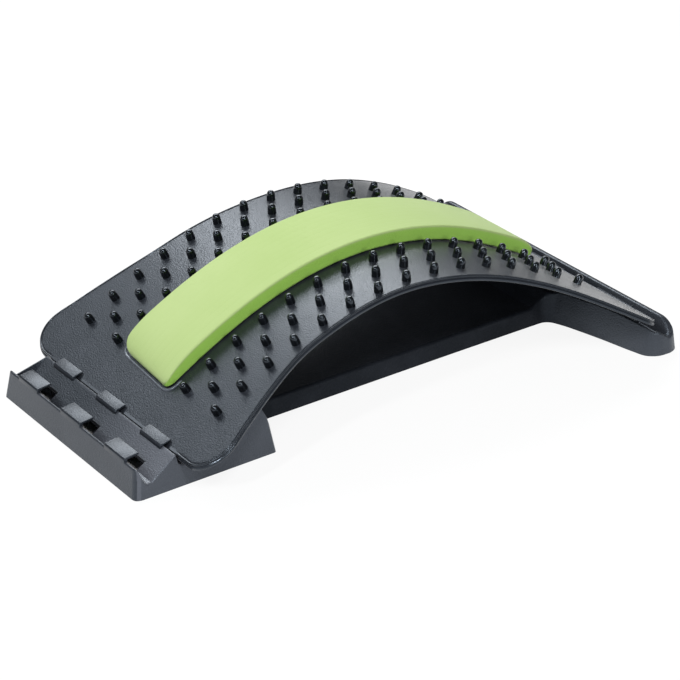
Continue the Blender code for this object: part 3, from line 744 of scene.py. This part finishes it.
wideEnd = {
    "plan": [  # floor outline of the beam, the flare and the wide end: x, half width and corner rounding
        (-0.0965, 0.0420, 0.0), (0.0670, 0.0422, 0.1), (0.1070, 0.0425, 0.1),
        (0.1478, 0.0429, 0.015), (0.1532, 0.0570, 0.03), (0.1572, 0.0725, 0.06),
        (0.1605, 0.0865, 0.06), (0.1637, 0.1030, 0.06), (0.1672, 0.1180, 0.0130),
        (0.1745, 0.1234, 0.0140), (0.1850, 0.1239, 0.0100), (0.1920, 0.1205, 0.0060),
        (0.1920, 0.0900, 0.0),
    ],
    "top": [  # the deck, the rise to the wide end, the channel and the curb, seen from the side
        (-0.0965, 0.0120), (0.1360, 0.0120), (0.1430, 0.0160), (0.1492, 0.0205), (0.1530, 0.0222),
        (0.1640, 0.0222), (0.1665, 0.0212), (0.1700, 0.0190), (0.1722, 0.0160), (0.1742, 0.0110),
        (0.1758, 0.0095), (0.1772, 0.0092), (0.1836, 0.0092), (0.1848, 0.0104), (0.1852, 0.0190),
        (0.1858, 0.0201), (0.1868, 0.0203), (0.1880, 0.0202), (0.1910, 0.0200),
    ],
    "edge": 0.0018,         # rounding along the top of its walls
    "curbHalf": 0.1080,     # the curb starts to sink this far out
    "shoulder": 0.0110,     # and has sunk to the sill after this much more
    "sill": [(0.1690, 0.0190), (0.1760, 0.0158), (0.1835, 0.0106), (0.1850, 0.0112), (0.1922, 0.0122)],
    "sillStart": 0.1150,    # beyond this y the top follows the sill, the top of the channel's two end walls
    "sillRise": 0.0040,     # where it is higher than the top, it rises to full height within this much y
    "sillFrom": (0.1690, 0.0060),    # there is a sill only beyond this x, and it fades in over this length
    "deck": 0.0205,         # the deck between the two wings of the flare,
    "deckUntil": 0.1715,    # up to this x
    "wingFrom": 0.0435,     # y from which the flare stands higher
    "wingRise": 0.0035,
    "beamUntil": 0.1340,    # left of this x the outline needs no more stations than its own
    "paintedLightMost": 0.40,      # how much painted light the wide end's walls take low down
    "paintedLightFrom": (0.0440, 0.0300),   # it grows from this y over this much more
    "paintedLightHeight": 0.0200,
    "shelf": (0.1660, 0.1772, 0.0035, 0.0157),    # the step in the channel: x, x, z, z
    "shelfHalf": 0.1000,
    "ledge": (0.1824, 0.1862, 0.0160, 0.0174),    # the small ledges under the curb that hold the plate's end
    "ledgeHalf": 0.0175,
    "ledges": (-0.0680, 0.0, 0.0680),
    "barRadius": 0.0006,
}


def buildWideEnd():
    # The beam, the flare and the wide end as one moulding. The outline is the plan moved in along its own
    # normals by the draft; the curb sinks to a sill along an ellipse at both its ends.
    plan = np.array(wideEnd["plan"])
    top = bent(wideEnd["top"], 0.0009, 6)
    lowTop = np.where(top[:, 0] < wideEnd["deckUntil"], np.minimum(top[:, 1], wideEnd["deck"]), top[:, 1])
    stops = withStations(top, 0.0025)[:, 0]
    stops = stops[stops > wideEnd["beamUntil"]]
    outline = bent(plan[:, :2], plan[:, 2], 16)[:-1]
    outline = withStations(outline, 0.0030, stops)
    apart = np.linalg.norm(np.diff(outline, axis=0), axis=1) > 0.00025
    outline = outline[np.concatenate([[True], apart])]
    edge = wideEnd["edge"]
    inner, outer = np.linspace(-0.84, 0.84, 36), np.linspace(0.84, 1, 13)[1:]
    shares = np.concatenate([np.linspace(-1, -0.84, 13)[:-1], inner, outer])

    def cross(near, far):
        # shares of the half width to both sides of the middle, closer together near the walls
        return (near[:, 1:] + far[:, 1:]) / 2 + (far[:, 1:] - near[:, 1:]) / 2 * shares

    def height(at):
        # the top line, lowered to the deck between the wings and to the sill at the channel's ends
        x, y = at[..., 0], at[..., 1]
        z = np.interp(x, top[:, 0], top[:, 1])
        wing = np.clip((np.abs(y) - wideEnd["wingFrom"]) / wideEnd["wingRise"], 0, 1)
        deck = np.interp(x, top[:, 0], lowTop)
        z = deck + (z - deck) * wing * wing * (3 - 2 * wing)
        past = np.clip((np.abs(y) - wideEnd["curbHalf"]) / wideEnd["shoulder"], 0, 1)
        rising = np.clip((np.abs(y) - wideEnd["sillStart"]) / wideEnd["sillRise"], 0, 1)
        sill = np.interp(x, *np.array(wideEnd["sill"]).T)
        share = np.where(z > sill, 1 - np.sqrt(1 - past**2), rising * rising * (3 - 2 * rising))
        start, over = wideEnd["sillFrom"]
        return z + (sill - z) * share * np.clip((x - start) / over, 0, 1)

    out = outwardOf(np.concatenate([outline * (1, -1), outline[::-1]]))[: len(outline)] * (1, -1)
    out[0], out[-1] = (0, 1), (1, 0)
    shifted = outline
    for _ in range(5):   # the draft depends on the height and the height on the place, so it settles in steps
        shifted = outline - out * (base["draft"] * (height(shifted) - edge))[:, None]
    shifted[0, 0] = outline[0, 0]

    def paintedLight(points):
        # painted light on the walls of the wide end, fading out towards the beam under the arch and upwards
        start, over = wideEnd["paintedLightFrom"]
        outwards = np.clip((np.abs(points[:, 1]) - start) / over, 0, 1)
        return wideEnd["paintedLightMost"] * outwards * np.clip(1.3 - points[:, 2] / wideEnd["paintedLightHeight"], 0, 1)

    ceiling = underside(top, base["wall"])
    return moulding("wideEnd", shifted * (1, -1), shifted, cross, height,
                    lambda at: ceiling(at[..., 0]), edge, paintedLight)


def bars(name, profiles, spans, radius, bendRadius):
    # straight bars across the base: each profile, seen from the side, is carried from one y to the other,
    # and shrinks by a quarter circle at both ends
    points, faces, start = [], [], 0
    turn = np.linspace(0, np.pi / 2, 5)
    shrink = radius * (1 - np.sin(turn))
    step = radius * (1 - np.cos(turn))
    for profile, (y0, y1) in zip(profiles, spans):
        loop = bent(profile, bendRadius, 4, closed=True)
        loop = np.roll(loop, -2, 0)[::-1]
        out = outwardOf(loop)
        along = np.concatenate([y0 + step, y1 - step[::-1]])
        inward = np.concatenate([shrink, shrink[::-1]])
        section = loop[None] - out[None] * inward[:, None, None]
        y = np.broadcast_to(along[:, None], section.shape[:2])
        points.append(np.stack([section[..., 0], y, section[..., 1]], -1).reshape(-1, 3))
        count = len(loop)
        cap, last = capQuads(count), (len(along) - 1) * count
        body = gridQuads(len(along), count, closed=True)[:, ::-1]
        faces.append(start + np.concatenate([body, cap, (cap + last)[:, ::-1]]))
        start += len(points[-1])
    made = makeMesh(name, np.concatenate(points), np.concatenate(faces))
    made.data.set_sharp_from_angle(angle=math.radians(50))
    print(name, len(made.data.polygons), "faces")
    return made


def block(x0, x1, z0, z1):
    # a rectangle seen from the side
    return [(x1, z1), (x1, z0), (x0, z0), (x0, z1)]


def buildTabs():
    # three tabs along the lip and three along each of the two ridges
    profiles, spans = [], []
    for root, shape in ((base["lip"], lipTab), *((ridge, ridgeTab) for ridge in base["ridges"])):
        for place in base["tabPlaces"]:
            profiles.append([(root[0] + across, root[1] + up) for across, up in shape])
            spans.append((place - base["tabLength"] / 2, place + base["tabLength"] / 2))
    return bars("retainingTabs", profiles, spans, base["tabRadius"], base["tabBend"])


def buildChannelParts():
    # the step in the channel and the ledges under the curb
    profiles = [block(*wideEnd["shelf"])]
    spans = [(-wideEnd["shelfHalf"], wideEnd["shelfHalf"])]
    for place in wideEnd["ledges"]:
        profiles.append(block(*wideEnd["ledge"]))
        spans.append((place - wideEnd["ledgeHalf"], place + wideEnd["ledgeHalf"]))
    return bars("channelShelf", profiles, spans, wideEnd["barRadius"], wideEnd["barRadius"])


rib = {
    "lengthwise": [  # x, x, top, y, y
        (-0.0900, 0.1470, 0.0100, -0.0030, 0.0030),
        (-0.1880, -0.0960, 0.0075, -0.0261, -0.0231), (-0.1880, -0.0960, 0.0075, 0.0231, 0.0261),
        (0.1500, 0.1900, 0.0075, -0.0030, 0.0030),
        (0.1530, 0.1900, 0.0075, -0.0400, -0.0370), (0.1530, 0.1900, 0.0075, 0.0370, 0.0400),
        (0.1640, 0.1900, 0.0075, -0.0770, -0.0740), (0.1640, 0.1900, 0.0075, 0.0740, 0.0770),
    ],
    "foot": 0.0004,         # how far over the floor they all stop
    "cross": (-0.0562, 0.1130, 6),   # the first and last rib across the beam, and how many there are
    "crossHalf": 0.0395,
    "crossTop": 0.0100,
    "halfThick": 0.0015,
    "radius": 0.0003,
}


def buildRibs():
    # the ribs and the keel below, seen only when the base is turned over
    profiles, spans = [], []
    for x0, x1, top, y0, y1 in rib["lengthwise"]:
        profiles.append(block(x0, x1, rib["foot"], top))
        spans.append((y0, y1))
    for x in np.linspace(*rib["cross"]):
        profiles.append(block(x - rib["halfThick"], x + rib["halfThick"], rib["foot"], rib["crossTop"]))
        spans.append((-rib["crossHalf"], rib["crossHalf"]))
    return bars("undersideRibs", profiles, spans, rib["radius"], rib["radius"])


class NodeMaker:
    # a short way to build a material: add() makes a node and links or sets its inputs by name
    def __init__(self, name):
        self.material = bpy.data.materials.new(name)
        self.material.use_nodes = True
        self.tree = self.material.node_tree
        self.shader = self.tree.nodes["Principled BSDF"]
        self.coords = self.tree.nodes.new("ShaderNodeTexCoord").outputs["Object"]

    def put(self, socket, value):
        if isinstance(value, bpy.types.NodeSocket):
            self.tree.links.new(value, socket)
        else:
            socket.default_value = value

    def add(self, kind, settings=None, **inputs):
        node = self.tree.nodes.new("ShaderNode" + kind)
        for key, value in (settings or {}).items():
            setattr(node, key, value)
        for key, value in inputs.items():
            self.put(node.inputs[key.replace("_", " ")], value)
        return node

    def noise(self, scale, detail=2.0):
        return self.add("TexNoise", Scale=scale, Detail=detail, Vector=self.coords).outputs["Fac"]

    def ramp(self, value, low, high, toLow, toHigh):
        made = self.add("MapRange", Value=value)
        for key, number in (("From Min", low), ("From Max", high), ("To Min", toLow), ("To Max", toHigh)):
            self.put(made.inputs[key], number)
        return made.outputs["Result"]

    def mixColour(self, factor, first, second):
        made = self.add("Mix", {"data_type": "RGBA"})
        self.put(made.inputs[0], factor)
        self.put(made.inputs[6], first)
        self.put(made.inputs[7], second)
        return made.outputs[2]

    def maths(self, operation, first, second):
        made = self.add("Math", {"operation": operation})
        self.put(made.inputs[0], first)
        self.put(made.inputs[1], second)
        return made.outputs[0]

    def set(self, **inputs):
        for key, value in inputs.items():
            self.put(self.shader.inputs[key.replace("_", " ")], value)


plastic = {
    "deep": (0.0150, 0.0175, 0.0225, 1.0),
    "dusty": (0.0230, 0.0260, 0.0330, 1.0),
    "paintedLitColour": (0.0980, 0.1040, 0.1220, 1.0),   # the colour of the painted light, where the base takes it fully
    "shine": 0.58,                    # how strongly it reflects, 0.5 being common plastic
    "paintedShadeShine": 0.10,                     # the same for the beam below the arch, turned down as painted shade, up to this x
    "paintedShadeUntil": 0.1420,
    "tint": (0.72, 0.85, 1.0, 1.0),   # a cool cast in its shine
    "grainScale": 1150.0,             # a little under 1 mm from pip to pip
    "grainDepth": 0.00015,
    "faceRoughness": (0.28, 0.37),
    "beadRoughness": 0.22,
    "strength": 0.75,                 # of the grain, and what is left of it on the bead
    "beadStrength": 0.05,
    "plateSheen": 0.24,               # a faint haze at a low angle, on the arch plate
    "baseSheen": 0.08,                # and on the base
}


def grainedPlastic(name, grain=1.0, use=None, paintedShadeUntil=None):
    # moulded plastic: leather-like pips over the faces and cloudy gloss; where the attribute "band" is 1 it
    # is a smooth bead without grain if use is "bead", and has the pale painted-light colour if use names
    # painted light;
    # the x given last, if any, is the x below which it has almost no shine, as painted shade under the arch
    m = NodeMaker(name)
    pips = m.add("TexVoronoi", {"feature": "SMOOTH_F1"}, Scale=plastic["grainScale"], Smoothness=0.55)
    m.put(pips.inputs["Vector"], m.coords)
    fine = m.noise(plastic["grainScale"] * 0.8, 3.0)
    raised = m.ramp(pips.outputs["Distance"], 0.0, 0.8, 1.0, 0.0)
    height = m.maths("ADD", raised, m.maths("MULTIPLY", fine, 0.7))
    cloud = m.noise(14.0, 3.0)
    gloss = m.ramp(cloud, 0.3, 0.7, *plastic["faceRoughness"])
    strength = plastic["strength"] * grain
    band = m.add("Attribute", {"attribute_name": "band"}).outputs["Fac"] if use else None
    if use == "bead":
        strength = m.ramp(band, 0.0, 1.0, plastic["strength"] * grain, plastic["beadStrength"])
        gloss = m.ramp(band, 0.0, 1.0, gloss, plastic["beadRoughness"])
    bump = m.add("Bump", Height=height, Distance=plastic["grainDepth"], Strength=strength)
    wear = m.ramp(m.noise(60.0, 4.0), 0.45, 0.75, 0.0, 1.0)
    colour = m.mixColour(wear, plastic["deep"], plastic["dusty"])
    # painted light: where band is 1 the colour turns pale, standing in for light on the lit walls, edges and
    # ramps
    if use == "paintedLight":
        colour = m.mixColour(band, colour, plastic["paintedLitColour"])
    m.set(Base_Color=colour, Roughness=gloss, Normal=bump.outputs["Normal"], Specular_Tint=plastic["tint"])
    shine = plastic["shine"]
    # painted shade: on the beam under the arch the shine is turned nearly off
    if paintedShadeUntil:
        place = m.add("SeparateXYZ", Vector=m.coords).outputs["X"]
        shine = m.ramp(place, paintedShadeUntil, paintedShadeUntil + 0.02, plastic["paintedShadeShine"], plastic["shine"])
    sheen = plastic["plateSheen"] if use == "bead" else plastic["baseSheen"]
    m.set(Specular_IOR_Level=shine, Sheen_Weight=sheen, Sheen_Roughness=0.30)
    return m.material


# The same plastic where the mould is polished: the nubs, and the lips round the foam's ends, whose pale
# colour is a painted highlight
nubLook = {"roughness": 0.05, "shine": 0.70, "colour": (0.0035, 0.0038, 0.0045, 1.0)}
lipHighlightLook = {"roughness": 0.25, "shine": 0.90, "colour": (0.100, 0.110, 0.130, 1.0)}


def polishedPlastic(name, look):
    # polished, with only a faint ripple
    m = NodeMaker(name)
    bump = m.add("Bump", Height=m.noise(500.0, 2.0), Distance=0.00004, Strength=0.3)
    gloss = m.ramp(m.noise(120.0), 0.3, 0.7, look["roughness"] * 0.85, look["roughness"] * 1.25)
    m.set(Base_Color=look["colour"], Roughness=gloss, Normal=bump.outputs["Normal"])
    m.set(Specular_IOR_Level=look["shine"], Specular_Tint=plastic["tint"])
    return m.material


foamLook = {
    "top": (0.475, 0.612, 0.250, 1.0),
    "topDeep": (0.418, 0.565, 0.200, 1.0),   # where its colour drifts deeper
    "side": (0.350, 0.640, 0.100, 1.0),
    "roughness": 0.78,
    "poreScale": 1500.0,                     # cells to the metre, and how deep they look
    "poreDepth": 0.0003,
}


def foamMaterial():
    # closed-cell foam: pale moulded skin on top, stronger green where it is cut, fine pores, matt
    m = NodeMaker("greenFoam")
    band = m.add("Attribute", {"attribute_name": "band"}).outputs["Fac"]
    drift = m.ramp(m.noise(9.0, 3.0), 0.35, 0.65, 0.0, 1.0)
    top = m.mixColour(drift, foamLook["top"], foamLook["topDeep"])
    colour = m.mixColour(band, foamLook["side"], top)
    cells = m.add("TexVoronoi", {"feature": "F1"}, Scale=foamLook["poreScale"], Vector=m.coords)
    cells = cells.outputs["Distance"]
    fine = m.noise(700.0, 4.0)
    height = m.maths("ADD", m.ramp(cells, 0.0, 0.5, 0.0, 1.0), fine)
    strength = m.ramp(band, 0.0, 1.0, 0.55, 0.18)
    bump = m.add("Bump", Height=height, Distance=foamLook["poreDepth"], Strength=strength)
    m.set(Base_Color=colour, Roughness=foamLook["roughness"], Normal=bump.outputs["Normal"])
    m.set(Sheen_Weight=0.12, Sheen_Roughness=0.5, Specular_IOR_Level=0.30)
    return m.material


def filmMaterial():
    # a pale clear film, cloudy in its gloss
    m = NodeMaker("clearAdhesive")
    cloud = m.ramp(m.noise(180.0), 0.3, 0.7, 0.25, 0.45)
    m.set(Base_Color=(0.78, 0.80, 0.74, 1.0), Roughness=cloud)
    return m.material


def dress(piece, material):
    # one material over the whole piece
    piece.data.materials.clear()
    piece.data.materials.append(material)


stage = {
    "half": 4.0,         # of the square floor, in metres
    "paper": (0.88, 0.88, 0.88, 1.0),
    "lift": 0.86,        # how much of the floor's whiteness is its own, so its shadow stays light
    "glow": 1.04,        # and how bright that part is, 1 being white
    "shaded": ((-0.1430, 0.0480), (0.0, 0.0750)),   # the notch block's middle and half size, in x and in y
    "sky": (0.90, 0.95, 1.0, 1.0),
    "skyStrength": 0.17,
    "lamps": [  # name, place, aim, width, height, watts
        ("backSoftbox", (0.31, 0.62, 0.66), (0.0, 0.0, 0.05), 0.72, 0.40, 6.0),
        ("rampSoftbox", (-0.31, 0.74, 0.80), (0.0, 0.0, 0.05), 0.40, 0.40, 1.7),
        ("leftSoftbox", (-1.35, 0.45, 1.00), (-0.05, 0.0, 0.05), 0.8, 0.8, 1.2),
        ("frontSoftbox", (-0.20, -1.45, 0.55), (0.0, 0.0, 0.05), 0.35, 0.50, 4.6),
        ("leftStrip", (-1.15, -0.30, 1.20), (0.0, 0.0, 0.05), 0.10, 0.4, 8.0),
        ("rightStrip", (-0.42, -0.85, 1.30), (0.0, 0.0, 0.05), 0.10, 0.4, 8.0),
    ],
}


def buildStage():
    # the floor is a plain white sheet; it takes the light as any white surface does, so it keeps the shadow,
    # and part of its white is its own except below the notch block, whose mould openings look dark
    corners = stage["half"] * np.array([(-1, -1, 0), (1, -1, 0), (1, 1, 0), (-1, 1, 0)], float)
    floor = makeMesh("paperFloor", corners, np.array([[0, 1, 2, 3]]))
    m = NodeMaker("whitePaper")
    light = m.add("LightPath").outputs
    seen = m.maths("MAXIMUM", light["Is Camera Ray"], light["Is Glossy Ray"])
    seen = m.maths("MAXIMUM", seen, light["Is Transmission Ray"])
    glow = m.add("Emission", Color=(1.0, 1.0, 1.0, 1.0), Strength=stage["glow"])
    mixed = m.add("MixShader")
    place = m.add("SeparateXYZ", Vector=m.coords).outputs
    within = []
    for axis, (middle, half) in zip("XY", stage["shaded"]):
        within.append(m.maths("COMPARE", place[axis], middle))
        within[-1].node.inputs[2].default_value = half
    below = m.maths("MULTIPLY", *within)
    glowing = m.maths("MULTIPLY", seen, stage["lift"])
    m.put(mixed.inputs[0], m.maths("MULTIPLY", glowing, m.maths("SUBTRACT", 1.0, below)))
    m.put(mixed.inputs[1], m.shader.outputs[0])
    m.put(mixed.inputs[2], glow.outputs[0])
    m.set(Base_Color=stage["paper"], Roughness=0.9, Specular_IOR_Level=0.0)
    m.put(m.tree.nodes["Material Output"].inputs["Surface"], mixed.outputs[0])
    dress(floor, m.material)


def buildLights():
    # a cool sky that only lights, white where the camera looks past the floor, and the lamps
    world = bpy.data.worlds.new("studio")
    world.use_nodes = True
    tree = world.node_tree
    sky, seen = tree.nodes["Background"], tree.nodes.new("ShaderNodeBackground")
    sky.inputs["Color"].default_value = stage["sky"]
    sky.inputs["Strength"].default_value = stage["skyStrength"]
    seen.inputs["Color"].default_value = (1.0, 1.0, 1.0, 1.0)   # what the camera sees past the floor's edge
    mixed = tree.nodes.new("ShaderNodeMixShader")
    tree.links.new(tree.nodes.new("ShaderNodeLightPath").outputs["Is Camera Ray"], mixed.inputs[0])
    tree.links.new(sky.outputs[0], mixed.inputs[1])
    tree.links.new(seen.outputs[0], mixed.inputs[2])
    tree.links.new(mixed.outputs[0], tree.nodes["World Output"].inputs["Surface"])
    scene.world = world
    for name, place, aim, width, height, watts in stage["lamps"]:
        lamp = bpy.data.lights.new(name, "AREA")
        lamp.shape = "RECTANGLE"
        lamp.size = width
        lamp.size_y = height
        lamp.energy = watts
        made = bpy.data.objects.new(name, lamp)
        made.location = place
        made.rotation_euler = (Vector(aim) - Vector(place)).to_track_quat("-Z", "Y").to_euler()
        scene.collection.objects.link(made)


def buildCamera():
    # the camera looks along the aim, with its picture's side edges upright
    lens = bpy.data.cameras.new("photoView")
    lens.lens = view["lens"]
    lens.sensor_width = view["sensor"]
    made = bpy.data.objects.new("photoView", lens)
    forward = Vector(view["aim"]).normalized()
    right = forward.cross(Vector((0, 0, 1))).normalized()
    up = right.cross(forward)
    turned = Matrix((right, up, -forward)).transposed().to_4x4()
    made.matrix_world = Matrix.Translation(view["place"]) @ turned
    scene.collection.objects.link(made)
    scene.camera = made


def assemble():
    buildCamera()
    buildStage()
    buildLights()
    print("camera, floor and lights ready")
    shell = buildPlate()
    dress(shell, grainedPlastic("archPlastic", use="bead"))
    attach(shell, "arch")
    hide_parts("arch_plate")
    nubs = buildNubs()
    dress(nubs, polishedPlastic("nubPlastic", nubLook))
    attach(nubs, "arch")
    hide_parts("arch_plate")
    # the lips' pale colour is a painted highlight
    bead = polishedPlastic("lipPaintedHighlight", lipHighlightLook)
    for name, end, inward in (("leftFoamLip", foam["left"], 1), ("rightFoamLip", foam["right"], -1)):
        ridge = buildFoamLip(name, end, inward)
        dress(ridge, bead)
        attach(ridge, "arch")
        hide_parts("arch_plate")
    pad = buildFoam()
    dress(pad, foamMaterial())
    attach(pad, "arch")
    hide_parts("foam_strip")
    sheet = buildFilm()
    dress(sheet, filmMaterial())
    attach(sheet, "arch")
    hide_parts("foam_adhesive_film")
    print("arch ready, with its foam")
    grained = grainedPlastic("basePlasticPaintedLight", use="paintedLight")
    smooth = grainedPlastic("tabPlastic", grain=0.45)
    waist = grainedPlastic("waistPlasticPaintedLightAndShade", use="paintedLight", paintedShadeUntil=plastic["paintedShadeUntil"])
    for piece, look in (
        (buildNotchBlock(), grained), (buildWideEnd(), waist), (buildTabs(), smooth),
        (buildChannelParts(), smooth), (buildRibs(), grained),
    ):
        dress(piece, look)
        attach(piece, "base")
        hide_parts("base_frame")
    print("base ready")


assemble()
scene.view_settings.view_transform = "Standard"
